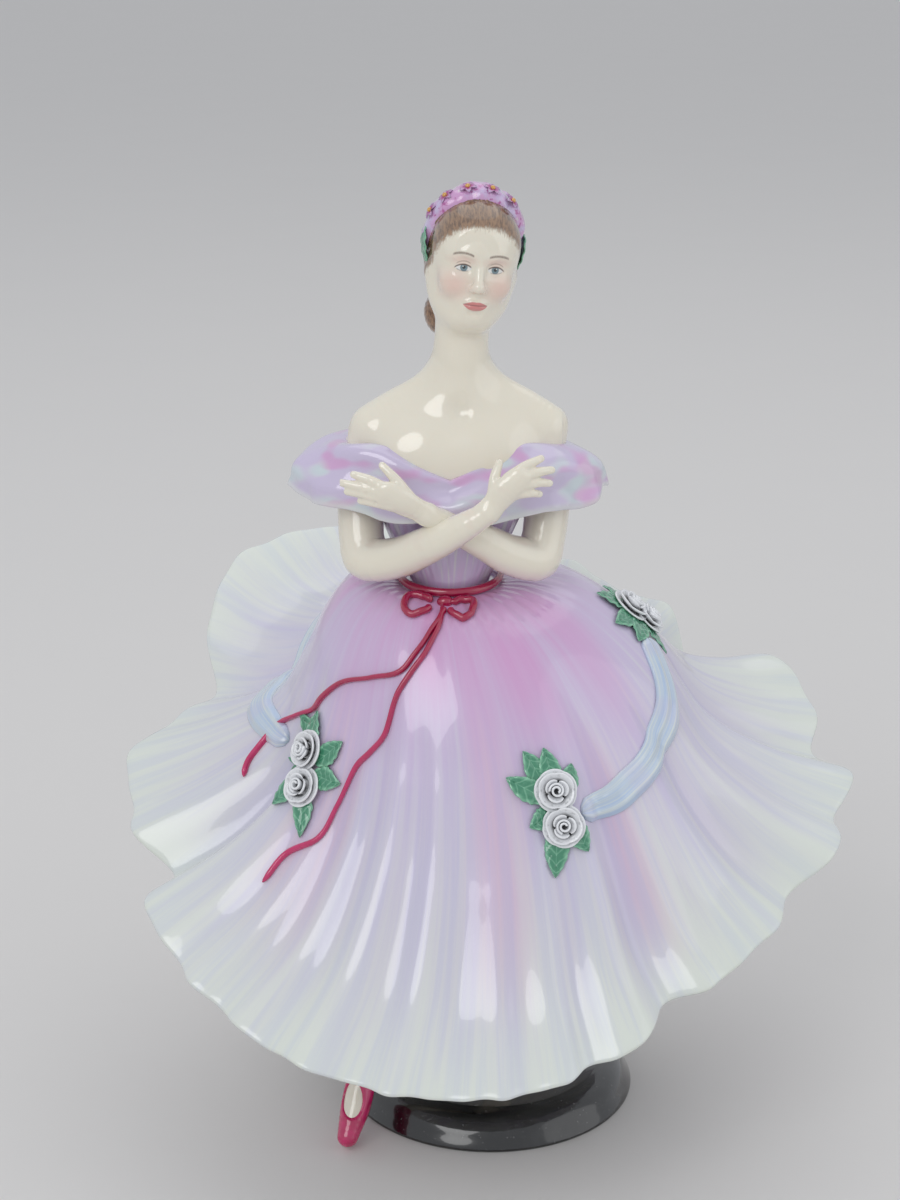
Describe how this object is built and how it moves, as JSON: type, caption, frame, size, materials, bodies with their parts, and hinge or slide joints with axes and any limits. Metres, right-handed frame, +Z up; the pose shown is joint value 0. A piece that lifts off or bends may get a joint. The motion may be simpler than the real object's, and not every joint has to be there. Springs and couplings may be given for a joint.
{
  "type": "porcelain figurine",
  "caption": "Glazed bone-china dancing lady with crossed arms, a frilled collar and a swirling lifted skirt, on a round black base.",
  "frame": {"origin": "centre of the round base's underside", "axes": "+Z up, the figure faces -Y, +X is the viewer's right"},
  "size_m": [0.1425, 0.1236, 0.1867],
  "materials": {
    "skin_glaze": "clear gloss glaze over ivory flesh tint",
    "skirt_glaze": "clear gloss glaze over hand-brushed lavender, pink and grey-green",
    "bodice_glaze": "clear gloss glaze over lavender",
    "frill_glaze": "clear gloss glaze over lavender, pale blue and pink patches",
    "petticoat_glaze": "clear gloss glaze over white china",
    "crimson_glaze": "clear gloss glaze over crimson enamel",
    "slipper_glaze": "clear gloss glaze over rose pink enamel",
    "swag_glaze": "clear gloss glaze over powder blue",
    "rose_glaze": "gloss glaze, white petals with dark grey in the folds",
    "leaf_glaze": "gloss glaze over hand-painted green",
    "hair_glaze": "gloss glaze over brushed light brown",
    "headdress_glaze": "gloss glaze over lavender",
    "blossom_glaze": "gloss glaze over magenta with a gilt heart",
    "base_glaze": "mirror-black gloss glaze"
  },
  "bodies": {
    "root": {"base_plinth": "base_glaze", "skirt": "skirt_glaze", "petticoat": "petticoat_glaze", "petticoat_frill": "petticoat_glaze", "supporting_leg": "skin_glaze", "leading_leg": "skin_glaze", "supporting_slipper": "slipper_glaze", "leading_slipper": "slipper_glaze", "bodice": "bodice_glaze", "shoulders": "skin_glaze", "right_arm": "skin_glaze", "left_arm": "skin_glaze", "collar_frill": "frill_glaze", "head": "skin_glaze", "hair": "hair_glaze", "hair_bun": "hair_glaze", "headdress_band": "headdress_glaze", "headdress_leaf_left": "leaf_glaze", "headdress_leaf_right": "leaf_glaze", "waist_ribbon": "crimson_glaze", "bow_knot": "crimson_glaze", "bow_loop_left": "crimson_glaze", "bow_loop_right": "crimson_glaze", "ribbon_tail_left": "crimson_glaze", "ribbon_tail_right": "crimson_glaze", "swag_band_right": "swag_glaze", "swag_band_left": "swag_glaze", "swag_band_back": "swag_glaze", "headdress_blossom_1": "blossom_glaze", "headdress_blossom_2": "blossom_glaze", "headdress_blossom_3": "blossom_glaze", "headdress_blossom_4": "blossom_glaze", "headdress_blossom_5": "blossom_glaze", "leaves_front": "leaf_glaze", "rose_front_1": "rose_glaze", "rose_front_2": "rose_glaze", "leaves_left": "leaf_glaze", "rose_left_1": "rose_glaze", "rose_left_2": "rose_glaze", "leaves_right": "leaf_glaze", "rose_right_1": "rose_glaze", "rose_right_2": "rose_glaze", "leaves_back": "leaf_glaze", "rose_back_1": "rose_glaze", "rose_back_2": "rose_glaze"}
  },
  "joints": []
}
